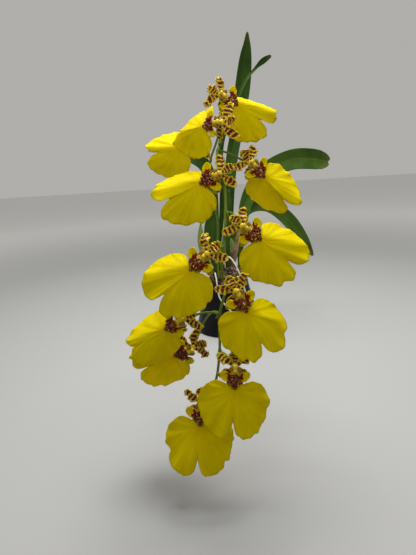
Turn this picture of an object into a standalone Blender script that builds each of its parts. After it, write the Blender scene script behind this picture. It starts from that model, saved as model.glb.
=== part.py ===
"""Potted dancing-lady orchid: a pot of bark, pseudobulbs, leaves, aerial roots and an arching flower spike.

World frame: metres, +Z up, the origin is the centre of the pot's underside, and the spray hangs towards -Y.
Every flower has its own frame: the origin is the lip's crest, +Z is the way the flower faces, -Y runs down
the lip, and +X is to the right of someone who looks at the flower.
"""

import math

import bmesh
import bpy
from mathutils import Matrix, Vector

MM = 0.001
GAP = 0.3 * MM

# Pot: a truncated cone, wider at the foot.
POT_HEIGHT = 60 * MM
POT_FOOT_RADIUS = 40 * MM
POT_TOP_RADIUS = 25 * MM
POT_WALL = 1.6 * MM
POT_FLOOR = 2.0 * MM
RIM_BEAD = 0.8 * MM
DRAIN_COUNT = 4
DRAIN_RADIUS = 3.5 * MM
DRAIN_CIRCLE = 24 * MM

# Bark and root ball, heaped above the rim.
HEAP_HEIGHT = 16 * MM
HEAP_FLAT_RADIUS = 13 * MM
BARK_BELOW_RIM = 4 * MM

# Pseudobulbs: name, centre x, centre y, half width, half depth, height.
BULBS = [
    ("pseudobulb_front", -10, -6, 8, 5, 28),
    ("pseudobulb_middle", 5, 1, 9, 6, 36),
    ("pseudobulb_back", -7, 12, 8, 5.5, 30),
]

LEAF_THICKNESS = 0.9 * MM

# Flower spike.
SPIKE_RADIUS = 1.1 * MM
SPIKE_POINTS = 64
PEDICEL_RADIUS = 0.75 * MM
ROOT_RADIUS = 0.8 * MM
ROOT_CLEARANCE = 0.8 * MM

# Lip: radius from the crest at each angle from the lip's middle line, in degrees and millimetres.
LIP_OUTLINE = [
    (0, 23.6), (6, 31), (12, 33), (20, 32.6), (29, 30.8), (41, 27.9), (53, 25.2), (65, 22.5), (77, 18.9),
    (86, 14.8), (94, 9.5), (103, 5.6), (113, 8.3), (124, 9), (138, 6.4), (158, 4.6), (180, 4.4),
]
LIP_RINGS = (0.2, 0.6, 1.0)
LIP_THICKNESS = 0.8 * MM
LIP_RECURVE = 3.2 * MM
FOLD_SOFTNESS = 3.0 * MM
LIP_HALF_WIDTH = 20 * MM
CREST_HEIGHT = 2.4 * MM
RUFFLE = 0.9 * MM

# Whorl of sepals and petals, centred on the column above the crest. TEPALS holds the angle and length of each.
COLUMN_ABOVE_CREST = 8.5 * MM
COLUMN_RADIUS = 1.7 * MM
COLUMN_TOP = 3.0 * MM
WHORL_BACK = 3.0 * MM
TEPALS = ((90, 9.5), (32, 12), (-40, 11.5), (-140, 11.5), (-212, 12))
TEPAL_HALF_WIDTH = 2.6 * MM
TEPAL_REFLEX = 5.0 * MM
TEPAL_THICKNESS = 0.8 * MM
TEPAL_ROWS = ((0.45, 0.8), (0.75, 1.0), (1.0, 0.35))

# The heights in the tables below are for a pot whose bark ends here. The plant moves with the real bark.
TABLE_BARK_TOP = 76 * MM

# Points of the spike, from the bark to the tip, in millimetres.
SPIKE_ROUTE = [
    (-10, -19, 67), (-10, -20, 101), (-8, -25, 130), (-11, -37, 159), (-14, -62, 189), (-13, -79, 201),
    (-8, -104, 214), (-4, -132, 227), (-3, -156, 237), (-4, -170, 243), (-6, -180, 244), (-6, -190, 238),
    (-6, -200, 226), (-8, -213, 213), (-12, -228, 201), (-10, -239, 191), (-9, -247, 180), (-10, -255, 163),
    (-13, -261, 146), (-14, -264, 136), (-13, -266, 122), (-17, -268, 108), (-18, -269, 87), (-21, -269, 68),
    (-25, -269, 61),
]

# Flowers: crest x, y, z and the spike height that the stalk leaves from, all in millimetres; then yaw to the
# right, pitch upwards and roll of the lip to the right, in degrees; then how far the left and the right half of
# the lip fold back and how far that fold line leans from the lip's middle line; then the lip's size. RISING and
# HANGING say which side of the arch the stalk is on.
RISING = "rising"
HANGING = "hanging"
FLOWERS = [
    ((0, -218, 234), HANGING, 239, (4, 4, 55), (12, 10), (68, 17), 0.93),
    ((-17, -237, 219), HANGING, 207, (-35, 4, -84), (42, -20), (5, 0), 0.88),
    ((-32, -170, 210), RISING, 226, (-10, 4, -83), (48, 5), (0, 0), 1.02),
    ((-20, -252, 187), HANGING, 196, (-6, 8, -66), (62, 15), (0, 0), 1.03),
    ((15, -228, 189), HANGING, 205, (8, 8, 38), (60, -8), (34, 12), 1.0),
    ((6, -267, 155), HANGING, 166, (6, 12, 48), (0, 0), (48, 22), 1.04),
    ((-29, -282, 143), HANGING, 149, (-4, 14, -49), (50, 30), (0, 0), 1.0),
    ((-4, -288, 120), HANGING, 129, (4, 14, 21), (10, 25), (42, 34), 0.98),
    ((-46, -276, 106), HANGING, 110, (-18, 14, -58), (48, 6), (58, 22), 0.96),
    ((-43, -255, 79), HANGING, 108, (-6, -4, -68), (0, 0), (16, 20), 1.03),
    ((-11, -291, 76), HANGING, 82, (0, 18, -6), (5, 20), (5, 20), 0.99),
    ((-32, -286, 51), HANGING, 61, (2, 22, -8), (24, 20), (0, 0), 1.02),
]

# Leaves: points up the midrib with the width at each, the keel's depth, and the tip's turn in degrees.
LEAVES = {
    "leaf_tall": (
        [(5, 1, 113, 4.5), (6, -1, 132, 9), (8, -2, 167, 12), (13, 0, 205, 13.5), (22, 4, 243, 14.5),
         (28, 6, 279, 18), (32, 4, 309, 14), (35, 0, 331, 2.5)], 3.0, 35),
    "leaf_narrow": (
        [(-5, 14.5, 105.5, 3.5), (-1, 16, 140, 6), (1, 14, 178, 5), (1, 6, 207, 4.5), (6, -4, 230, 4),
         (15, -8, 249, 3.5), (30, -3, 280, 3), (43, 3, 295, 3), (52, 2, 302, 6), (60, -1, 306, 3)], 1.2, 0),
    "leaf_right": (
        [(17, 1.5, 75.8, 5), (19, 2, 108, 9), (24, 6, 138, 13), (34, 9, 163, 17), (54, 11, 185, 21),
         (81, 11, 196, 23), (104, 9, 196, 23), (127, 8, 191, 19)], 3.0, 0),
    "leaf_drooping": (
        [(7, 13, 76, 4.5), (11, 17, 106, 7), (19, 20, 128, 9), (36, 22, 143, 12), (58, 24, 143, 15),
         (80, 24, 126, 17), (97, 24, 101, 15), (111, 24, 78, 4)], 2.5, 0),
    "leaf_left": (
        [(-8.5, 11, 106.2, 4), (-9, 12, 142, 8), (-12, 13, 179, 12), (-20, 14, 198, 15), (-36, 14, 210, 16),
         (-54, 12, 217, 6)], 2.5, 0),
    "leaf_front": (
        [(-11.5, -13, 73.8, 4.5), (-14, -13, 102, 14), (-14, -14, 128, 18), (-9, -15, 150, 4)], 2.0, 0),
    "leaf_small": (
        [(3.5, -8, 76.5, 3.5), (3, -9, 105, 5), (4, -10, 130, 7), (6, -10, 150, 8), (7, -9, 168, 2)], 1.2, 0),
    "leaf_shoot": (
        [(-19.5, -4, 70.5, 3.5), (-25, -5, 90, 7), (-28, -6, 112, 8), (-27, -6, 131, 2)], 1.5, 0),
    "dry_sheath": (
        [(8, -8.5, 77, 3.5), (13, -9, 102, 6), (18, -5, 125, 3)], 1.5, 25),
}
LEAF_ROWS = 12
KEEL_FULL_AT = 5 * MM

# Aerial roots, in millimetres.
ROOTS = {
    "aerial_root_front": [(-1.5, -9.5, 76.8), (-1, -15, 88), (3, -20, 92), (8, -25, 87), (13, -28, 76),
                          (17, -31, 62), (20, -33, 50)],
    "aerial_root_side": [(-13, -14.5, 70.5), (-14, -22, 74), (-13, -27, 68), (-12, -29.5, 56), (-10, -32, 46),
                         (-3, -35, 37), (5, -38, 27), (12, -40, 16)],
    "aerial_root_back": [(8.5, 16.5, 71), (13, 24, 73), (17, 28, 64), (20, 30, 50), (21, 34, 36)],
}

POT_BLACK = (0.012, 0.012, 0.014, 1)
BARK_BROWN = (0.09, 0.045, 0.02, 1)
BULB_GREEN = (0.12, 0.2, 0.03, 1)
LEAF_GREEN = (0.03, 0.1, 0.015, 1)
SHOOT_GREEN = (0.2, 0.32, 0.06, 1)
SHEATH_BROWN = (0.25, 0.14, 0.06, 1)
STEM_GREEN = (0.16, 0.24, 0.03, 1)
ROOT_WHITE = (0.6, 0.58, 0.48, 1)
LIP_YELLOW = (0.85, 0.66, 0.01, 1)
TEPAL_YELLOW = (0.6, 0.35, 0.02, 1)


def clear_scene():
    for obj in list(bpy.data.objects):
        bpy.data.objects.remove(obj)


def new_collection(name):
    collection = bpy.data.collections.new(name)
    bpy.context.scene.collection.children.link(collection)
    return collection


def make_material(name, colour, roughness):
    material = bpy.data.materials.new(name)
    material.use_nodes = True
    shader = material.node_tree.nodes["Principled BSDF"]
    shader.inputs["Base Color"].default_value = colour
    shader.inputs["Roughness"].default_value = roughness
    shader.inputs["Metallic"].default_value = 0.0
    return material


def add_object(name, data, collection, colour=None, roughness=0.5):
    obj = bpy.data.objects.new(name, data)
    collection.objects.link(obj)
    if colour is not None:
        data.materials.append(make_material(name, colour, roughness))
    return obj


def mesh_from(name, vertices, faces):
    mesh = bpy.data.meshes.new(name)
    mesh.from_pydata([tuple(v) for v in vertices], [], faces)
    mesh.update()
    mesh.shade_smooth()
    return mesh


def turned(name, profile, collection, colour, roughness):
    """A solid of revolution from (radius, height) points that run down its outer side."""
    mesh = bpy.data.meshes.new(name)
    edges = [(i, i + 1) for i in range(len(profile) - 1)]
    mesh.from_pydata([(radius, 0, height) for radius, height in profile], edges, [])
    obj = add_object(name, mesh, collection, colour, roughness)
    screw = obj.modifiers.new("turn", "SCREW")
    screw.steps = 32
    screw.render_steps = 32
    screw.use_merge_vertices = True
    screw.merge_threshold = 0.00001
    return obj


def smooth_route(points, count):
    """Evenly numbered points on the Catmull-Rom curve through the given points."""
    ends = [2 * points[0] - points[1]] + points + [2 * points[-1] - points[-2]]
    route = []
    for step in range(count):
        place = step * (len(points) - 1) / (count - 1)
        i = min(int(place), len(points) - 2)
        t = place - i
        a, b, c, d = ends[i:i + 4]
        route.append(0.5 * (2 * b + (c - a) * t + (2 * a - 5 * b + 4 * c - d) * t * t
                            + (3 * b - a - 3 * c + d) * t ** 3))
    return route


def plant_lift():
    """How far the plant stands above the heights in its tables."""
    return Vector((0, 0, heap_top() - TABLE_BARK_TOP))


def in_metres(points):
    return [Vector(p) * MM + plant_lift() for p in points]


def tube(name, route, radius, end_radius, collection, colour, roughness):
    """A round stem along the route, tapering from radius to end_radius."""
    curve = bpy.data.curves.new(name, "CURVE")
    curve.dimensions = "3D"
    curve.bevel_depth = radius
    curve.bevel_resolution = 2
    curve.use_fill_caps = True
    spline = curve.splines.new("POLY")
    spline.points.add(len(route) - 1)
    for i, point in enumerate(route):
        spline.points[i].co = (*point, 1)
        share = i / (len(route) - 1)
        spline.points[i].radius = 1 + (end_radius / radius - 1) * share
    return add_object(name, curve, collection, colour, roughness)


def solidify(obj, thickness, offset):
    shell = obj.modifiers.new("thickness", "SOLIDIFY")
    shell.thickness = thickness
    shell.offset = offset


def leaf(name, points, keel, tip_turn, collection, colour, roughness):
    """A keeled strip that faces -Y, with its midrib along the points."""
    route = smooth_route(in_metres([point[:3] for point in points]), LEAF_ROWS)
    widths = smooth_route([Vector((point[3] * MM, 0, 0)) for point in points], LEAF_ROWS)
    vertices = []
    for i, centre in enumerate(route):
        share = i / (LEAF_ROWS - 1)
        along = (route[min(i + 1, LEAF_ROWS - 1)] - route[max(i - 1, 0)]).normalized()
        turn = Matrix.Rotation(math.radians(tip_turn) * share ** 2, 3, along)
        side = turn @ along.cross(Vector((0, -1, 0))).normalized()
        half = widths[i].x / 2
        fold = side.cross(along) * keel * MM * min(1.0, half / KEEL_FULL_AT)
        vertices += [centre - side * half + fold, centre, centre + side * half + fold]
    faces = []
    for i in range(LEAF_ROWS - 1):
        for j in range(2):
            a = i * 3 + j
            faces.append((a, a + 1, a + 4, a + 3))
    obj = add_object(name, mesh_from(name, vertices, faces), collection, colour, roughness)
    solidify(obj, LEAF_THICKNESS, 0)
    return obj


def make_pot(collection, cutters):
    slope = (POT_FOOT_RADIUS - POT_TOP_RADIUS) / POT_HEIGHT
    inner_foot = POT_FOOT_RADIUS - POT_WALL - slope * POT_FLOOR
    inner_top = POT_TOP_RADIUS - POT_WALL
    bead = POT_TOP_RADIUS + RIM_BEAD
    profile = [
        (0, POT_FLOOR),
        (inner_foot, POT_FLOOR),
        (inner_top, POT_HEIGHT - RIM_BEAD),
        (inner_top + RIM_BEAD / 2, POT_HEIGHT),
        (POT_TOP_RADIUS + RIM_BEAD / 2, POT_HEIGHT),
        (bead, POT_HEIGHT - RIM_BEAD),
        (bead, POT_HEIGHT - 3 * RIM_BEAD),
        (POT_TOP_RADIUS + slope * 4 * RIM_BEAD, POT_HEIGHT - 4 * RIM_BEAD),
        (POT_FOOT_RADIUS, 2 * RIM_BEAD),
        (POT_FOOT_RADIUS - RIM_BEAD, 0),
        (0, 0),
    ]
    pot = turned("pot", profile, collection, POT_BLACK, 0.25)
    for i in range(DRAIN_COUNT):
        angle = math.radians(45 + 360 * i / DRAIN_COUNT)
        bpy.ops.mesh.primitive_cylinder_add(vertices=12, radius=DRAIN_RADIUS, depth=4 * POT_FLOOR)
        cutter = bpy.context.object
        cutter.name = f"drain_cutter_{i + 1}"
        cutter.location = (DRAIN_CIRCLE * math.cos(angle), DRAIN_CIRCLE * math.sin(angle), POT_FLOOR / 2)
        cutter.hide_render = True
        cutter.display_type = "WIRE"
        for owner in list(cutter.users_collection):
            owner.objects.unlink(cutter)
        cutters.objects.link(cutter)
        cut = pot.modifiers.new(f"drain_{i + 1}", "BOOLEAN")
        cut.operation = "DIFFERENCE"
        cut.object = cutter
    return pot


def outside_pot(point):
    """Moves a root's point straight outwards where a wider or taller pot would touch the root."""
    if point.z > POT_HEIGHT + ROOT_RADIUS + ROOT_CLEARANCE:
        return point
    below_rim = max(POT_HEIGHT - point.z, 0.0) / POT_HEIGHT
    wall = POT_TOP_RADIUS + (POT_FOOT_RADIUS - POT_TOP_RADIUS) * below_rim
    across = math.hypot(point.x, point.y)
    wanted = max(across, wall + RIM_BEAD + ROOT_RADIUS + ROOT_CLEARANCE)
    return Vector((point.x * wanted / across, point.y * wanted / across, point.z))


def heap_top():
    return POT_HEIGHT + HEAP_HEIGHT


def make_bark(collection):
    """The bark fills the pot to just below the rim and is heaped up in the middle."""
    slope = (POT_FOOT_RADIUS - POT_TOP_RADIUS) / POT_HEIGHT
    bottom = POT_FLOOR + GAP
    side_top = POT_HEIGHT - BARK_BELOW_RIM
    inner_top = POT_TOP_RADIUS - POT_WALL
    edge = inner_top + slope * BARK_BELOW_RIM - 2 * GAP
    foot = POT_FOOT_RADIUS - POT_WALL - slope * bottom - 2 * GAP
    profile = [(0, heap_top()), (HEAP_FLAT_RADIUS, heap_top())]
    shoulder = inner_top - 2 * GAP
    for share in (0.35, 0.7, 1.0):
        radius = HEAP_FLAT_RADIUS + (shoulder - HEAP_FLAT_RADIUS) * share
        profile.append((radius, heap_top() - (HEAP_HEIGHT + RIM_BEAD) * share ** 1.6))
    profile += [(edge, side_top), (foot, bottom), (0, bottom)]
    return turned("bark_mix", profile, collection, BARK_BROWN, 0.9)


def make_bulb(name, x, y, half_width, half_depth, height, collection):
    """A flattened egg that narrows upwards and stands on the flat top of the bark."""
    mesh = bpy.data.meshes.new(name)
    builder = bmesh.new()
    bmesh.ops.create_uvsphere(builder, u_segments=14, v_segments=8, radius=1)
    for vertex in builder.verts:
        narrow = 1 - 0.22 * max(vertex.co.z, 0)
        vertex.co.x *= half_width * MM * narrow
        vertex.co.y *= half_depth * MM * narrow
        vertex.co.z *= height * MM / 2
    builder.to_mesh(mesh)
    builder.free()
    mesh.shade_smooth()
    obj = add_object(name, mesh, collection, BULB_GREEN, 0.5)
    obj.location = (x * MM, y * MM, heap_top() + GAP + height * MM / 2)
    return obj


def lip_spokes():
    """Angle and radius of every spoke round the crest, clockwise from the lip's middle line."""
    right = [(math.radians(angle), radius * MM) for angle, radius in LIP_OUTLINE]
    left = [(-angle, radius) for angle, radius in right[-2:0:-1]]
    return right + left


def folded(x, y, folds):
    """Where a flat point of the lip goes when its half folds back about a line through the crest."""
    fold, lean = (math.radians(turn) for turn in (folds[1] if x > 0 else folds[0]))
    beyond = max(abs(x) * math.cos(lean) + y * math.sin(lean), 0.0)
    swept = math.sqrt(beyond ** 2 + FOLD_SOFTNESS ** 2) - FOLD_SOFTNESS
    inwards = swept * (1 - math.cos(fold))
    side = math.copysign(max(abs(x) - math.cos(lean) * inwards, 0.0), x)
    back = swept * math.sin(fold) + LIP_RECURVE * (x / LIP_HALF_WIDTH) ** 2
    return Vector((side, y - math.sin(lean) * inwards, -back))


def make_lip(name, frame, folds, size, phase, collection):
    spokes = lip_spokes()
    vertices = [Vector((0, 0, CREST_HEIGHT))]
    for ring in LIP_RINGS:
        for angle, radius in spokes:
            crest = CREST_HEIGHT * 0.5 if ring == LIP_RINGS[0] and abs(angle) < 2.0 else 0.0
            wave = RUFFLE * math.sin(5 * angle + phase) * ring ** 2 * (radius / LIP_HALF_WIDTH)
            flat = folded(math.sin(angle) * radius * ring, -math.cos(angle) * radius * ring, folds)
            vertices.append(flat + Vector((0, 0, crest + wave)))
    count = len(spokes)
    faces = []
    for i in range(count):
        after = (i + 1) % count
        faces.append((0, 1 + after, 1 + i))
        for ring in range(len(LIP_RINGS) - 1):
            inner = 1 + ring * count
            outer = inner + count
            faces.append((inner + i, inner + after, outer + after, outer + i))
    placed = [frame @ (v * size) for v in vertices]
    obj = add_object(name, mesh_from(name, placed, faces), collection, LIP_YELLOW, 0.5)
    solidify(obj, LIP_THICKNESS, -1)
    return obj


def make_whorl(name, frame, folds, phase, collection):
    """Column, dorsal sepal, two petals and two lateral sepals, grown as one. The lateral ones follow the lip."""
    centre = Vector((0, COLUMN_ABOVE_CREST, 0))
    spread = math.radians(27)
    ring = [math.radians(a) + k * spread for a, _ in TEPALS for k in (1, 0, -1)]
    vertices = [centre + Vector((0, 0, COLUMN_TOP))]
    for radius, height in ((COLUMN_RADIUS, COLUMN_TOP - 0.4 * MM), (COLUMN_RADIUS * 1.3, -WHORL_BACK)):
        for angle in ring:
            vertices.append(centre + Vector((radius * math.cos(angle), radius * math.sin(angle), height)))
    count = len(ring)
    faces = []
    for i in range(count):
        after = (i + 1) % count
        faces.append((0, 1 + i, 1 + after))
        faces.append((1 + i, 1 + count + i, 1 + count + after, 1 + after))
    for arm, (degrees, length) in enumerate(TEPALS):
        along = Vector((math.cos(math.radians(degrees)), math.sin(math.radians(degrees)), 0))
        across = Vector((-along.y, along.x, 0))
        last = [1 + count + arm * 3 + k for k in range(3)]
        for share, fullness in TEPAL_ROWS:
            row = []
            for k in (1, 0, -1):
                reach = length * MM * share
                back = WHORL_BACK + TEPAL_REFLEX * share ** 2 + 0.5 * MM * math.sin(phase + 9 * share + 2 * k)
                place = centre + along * reach + across * (k * TEPAL_HALF_WIDTH * fullness)
                if along.y < 0:
                    place = folded(place.x, place.y, folds)
                row.append(len(vertices))
                vertices.append(place + Vector((0, 0, -back)))
            for k in range(2):
                faces.append((last[k], row[k], row[k + 1], last[k + 1]))
            last = row
    placed = [frame @ v for v in vertices]
    mesh = mesh_from(name, placed, [tuple(reversed(face)) for face in faces])
    obj = add_object(name, mesh, collection, TEPAL_YELLOW, 0.5)
    solidify(obj, TEPAL_THICKNESS, -1)
    return obj


def flower_frame(crest, turns):
    """Matrix from a flower's own frame to the world."""
    yaw, pitch, roll = (math.radians(t) for t in turns)
    facing_front = Matrix(((1, 0, 0), (0, 0, -1), (0, 1, 0))).to_4x4()
    turn = Matrix.Rotation(yaw, 4, "Z") @ Matrix.Rotation(-pitch, 4, "X")
    place = Matrix.Translation(Vector(crest) * MM + plant_lift())
    return place @ turn @ facing_front @ Matrix.Rotation(roll, 4, "Z")


def spike_place(route, side, height):
    """The spike's point at this height on the rising or hanging side of the arch, and its direction."""
    top = max(range(len(route)), key=lambda i: route[i].z)
    numbers = range(1, top) if side == RISING else range(top, len(route) - 1)
    nearest = min(numbers, key=lambda i: abs(route[i].z - height * MM - plant_lift().z))
    return route[nearest], (route[nearest + 1] - route[nearest - 1]).normalized()


def make_pedicel(name, frame, route, side, height, collection):
    """The flower's stalk, from just off the spike to just behind the whorl."""
    start, along = spike_place(route, side, height)
    back = frame @ Vector((0, COLUMN_ABOVE_CREST, -WHORL_BACK - TEPAL_THICKNESS - 3 * GAP))
    inwards = (frame.to_3x3() @ Vector((0, 0.1, -1))).normalized()
    out = back + inwards * 4 * MM - start
    out = (out - along * out.dot(along)).normalized()
    first = start + out * (SPIKE_RADIUS + GAP)
    reach = (back - first).length
    handle = first + (out + Vector((0, 0, 0.4))).normalized() * reach * 0.35
    arrival = back + inwards * reach * 0.35
    points = []
    for step in range(8):
        t = step / 7
        points.append(first * (1 - t) ** 3 + 3 * handle * t * (1 - t) ** 2
                      + 3 * arrival * t * t * (1 - t) + back * t ** 3)
    return tube(name, points, PEDICEL_RADIUS, PEDICEL_RADIUS * 1.2, collection, STEM_GREEN, 0.5)


def make_flowers(route, collection):
    for number, (crest, side, height, turns, left, right, size) in enumerate(FLOWERS, start=1):
        frame = flower_frame(crest, turns)
        phase = 1.7 * number
        label = f"flower_{number:02d}"
        make_lip(f"{label}_lip", frame, (left, right), size, phase, collection)
        make_whorl(f"{label}_sepals_petals", frame, (left, right), phase, collection)
        make_pedicel(f"{label}_pedicel", frame, route, side, height, collection)


def main():
    clear_scene()
    plant = new_collection("potted_orchid")
    cutters = new_collection("cutters")
    make_pot(plant, cutters)
    make_bark(plant)
    for bulb in BULBS:
        make_bulb(*bulb, plant)
    colours = {"leaf_shoot": SHOOT_GREEN, "dry_sheath": SHEATH_BROWN}
    for name, (points, keel, tip_turn) in LEAVES.items():
        leaf(name, points, keel, tip_turn, plant, colours.get(name, LEAF_GREEN), 0.5)
    route = smooth_route(in_metres(SPIKE_ROUTE), SPIKE_POINTS)
    tube("flower_spike", route, SPIKE_RADIUS, SPIKE_RADIUS * 0.7, plant, STEM_GREEN, 0.5)
    for name, points in ROOTS.items():
        hanging = [outside_pot(point) for point in smooth_route(in_metres(points), 16)]
        tube(name, hanging, ROOT_RADIUS, ROOT_RADIUS, plant, ROOT_WHITE, 0.8)
    make_flowers(route, plant)


main()
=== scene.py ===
import random
from math import atan2, copysign, cos, exp, hypot, pi, radians, sin, sqrt

import bpy
from mathutils import Matrix, Vector, noise


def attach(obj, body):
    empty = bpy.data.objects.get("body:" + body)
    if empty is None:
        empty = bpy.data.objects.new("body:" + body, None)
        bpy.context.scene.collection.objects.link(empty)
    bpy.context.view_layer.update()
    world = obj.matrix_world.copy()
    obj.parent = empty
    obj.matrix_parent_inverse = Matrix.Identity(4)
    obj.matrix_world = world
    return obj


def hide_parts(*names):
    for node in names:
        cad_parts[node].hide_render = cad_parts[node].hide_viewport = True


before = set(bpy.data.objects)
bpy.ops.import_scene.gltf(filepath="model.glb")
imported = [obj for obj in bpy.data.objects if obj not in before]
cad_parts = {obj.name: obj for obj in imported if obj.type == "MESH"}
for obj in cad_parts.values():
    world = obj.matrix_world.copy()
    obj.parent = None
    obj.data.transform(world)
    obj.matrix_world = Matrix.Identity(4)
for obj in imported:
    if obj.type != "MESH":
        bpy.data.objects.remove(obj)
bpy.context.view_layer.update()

# The looks of the potted orchid. Lengths are in metres, or in millimetres times MM, in the CAD's frame: the
# origin is the centre of the pot's underside, +Z is up, and the flower spray hangs towards -Y. Every flower
# has its own frame: the origin is the lip's crest, +Z is the way it faces, and -Y runs down the lip.
MM = 0.001

# The routes and places below repeat the CAD's own, in millimetres and degrees.
SPIKE_ROUTE = [
    (-10, -19, 67), (-10, -20, 101), (-8, -25, 130), (-11, -37, 159), (-14, -62, 189), (-13, -79, 201),
    (-8, -104, 214), (-4, -132, 227), (-3, -156, 237), (-4, -170, 243), (-6, -180, 244), (-6, -190, 238),
    (-6, -200, 226), (-8, -213, 213), (-12, -228, 201), (-10, -239, 191), (-9, -247, 180), (-10, -255, 163),
    (-13, -261, 146), (-14, -264, 136), (-13, -266, 122), (-17, -268, 108), (-18, -269, 87), (-21, -269, 68),
    (-25, -269, 61),
]
SPIKE_RADIUS = 1.1
SPIKE_RINGS = 260
BARE_JOINTS = (22, 52, 84)
RISING = "rising"
HANGING = "hanging"

# Crest place, side and height of the stalk's foot, (yaw, pitch, roll), then how far the left and the right
# half of the lip fold back and the angle of the fold line from the lip's middle line, and the lip's size.
FLOWERS = [
    ((0, -218, 234), HANGING, 239, (4, 4, 55), (12, 10), (68, 17), 0.93),
    ((-17, -237, 219), HANGING, 207, (-35, 4, -84), (42, -20), (5, 0), 0.88),
    ((-32, -170, 210), RISING, 226, (-10, 4, -83), (48, 5), (0, 0), 1.02),
    ((-20, -252, 187), HANGING, 196, (-6, 8, -66), (62, 15), (0, 0), 1.03),
    ((15, -228, 189), HANGING, 205, (8, 8, 38), (60, -8), (34, 12), 1.0),
    ((6, -267, 155), HANGING, 166, (6, 12, 48), (0, 0), (48, 22), 1.04),
    ((-29, -282, 143), HANGING, 149, (-4, 14, -49), (50, 30), (0, 0), 1.0),
    ((-4, -288, 120), HANGING, 129, (4, 14, 21), (10, 25), (42, 34), 0.98),
    ((-46, -276, 106), HANGING, 110, (-18, 14, -58), (48, 6), (58, 22), 0.96),
    ((-43, -255, 79), HANGING, 108, (-6, -4, -68), (0, 0), (16, 20), 1.03),
    ((-11, -291, 76), HANGING, 82, (0, 18, -6), (5, 20), (5, 20), 0.99),
    ((-32, -286, 51), HANGING, 61, (2, 22, -8), (24, 20), (0, 0), 1.02),
]

# Points up the midrib with the width at each, depth of the keel, and the tip's turn in degrees.
LEAVES = {
    "leaf_tall": (
        [(5, 1, 113, 4.5), (6, -1, 132, 9), (8, -2, 167, 12), (13, 0, 205, 13.5), (22, 4, 243, 14.5),
         (28, 6, 279, 18), (32, 4, 309, 14), (35, 0, 331, 2.5)], 3.0, 35),
    "leaf_narrow": (
        [(-5, 14.5, 105.5, 3.5), (-1, 16, 140, 6), (1, 14, 178, 5), (1, 6, 207, 4.5), (6, -4, 230, 4),
         (15, -8, 249, 3.5), (30, -3, 280, 3), (43, 3, 295, 3), (52, 2, 302, 6), (60, -1, 306, 3)], 1.2, 0),
    "leaf_right": (
        [(17, 1.5, 75.8, 5), (19, 2, 108, 9), (24, 6, 138, 13), (34, 9, 163, 17), (54, 11, 185, 21),
         (81, 11, 196, 23), (104, 9, 196, 23), (127, 8, 191, 19)], 3.0, 0),
    "leaf_drooping": (
        [(7, 13, 76, 4.5), (11, 17, 106, 7), (19, 20, 128, 9), (36, 22, 143, 12), (58, 24, 143, 15),
         (80, 24, 126, 17), (97, 24, 101, 15), (111, 24, 78, 4)], 2.5, 0),
    "leaf_left": (
        [(-8.5, 11, 106.2, 4), (-9, 12, 142, 8), (-12, 13, 179, 12), (-20, 14, 198, 15), (-36, 14, 210, 16),
         (-54, 12, 217, 6)], 2.5, 0),
    "leaf_front": (
        [(-11.5, -13, 73.8, 4.5), (-14, -13, 102, 14), (-14, -14, 128, 18), (-9, -15, 150, 4)], 2.0, 0),
    "leaf_small": (
        [(3.5, -8, 76.5, 3.5), (3, -9, 105, 5), (4, -10, 130, 7), (6, -10, 150, 8), (7, -9, 168, 2)], 1.2, 0),
    "leaf_shoot": (
        [(-19.5, -4, 70.5, 3.5), (-25, -5, 90, 7), (-28, -6, 112, 8), (-27, -6, 131, 2)], 1.5, 0),
    "dry_sheath": (
        [(8, -8.5, 77, 3.5), (13, -9, 102, 6), (18, -5, 125, 3)], 1.5, 25),
}
ROOTS = {
    "aerial_root_front": [(-1.5, -9.5, 76.8), (-1, -15, 88), (3, -20, 92), (8, -25, 87), (13, -28, 76),
                          (17, -31, 62), (20, -33, 50)],
    "aerial_root_side": [(-13, -14.5, 70.5), (-14, -22, 74), (-13, -27, 68), (-12, -29.5, 56), (-10, -32, 46),
                         (-3, -35, 37), (5, -38, 27), (12, -40, 16)],
    "aerial_root_back": [(8.5, 16.5, 71), (13, 24, 73), (17, 28, 64), (20, 30, 50), (21, 34, 36)],
}


# ---- node helpers

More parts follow.
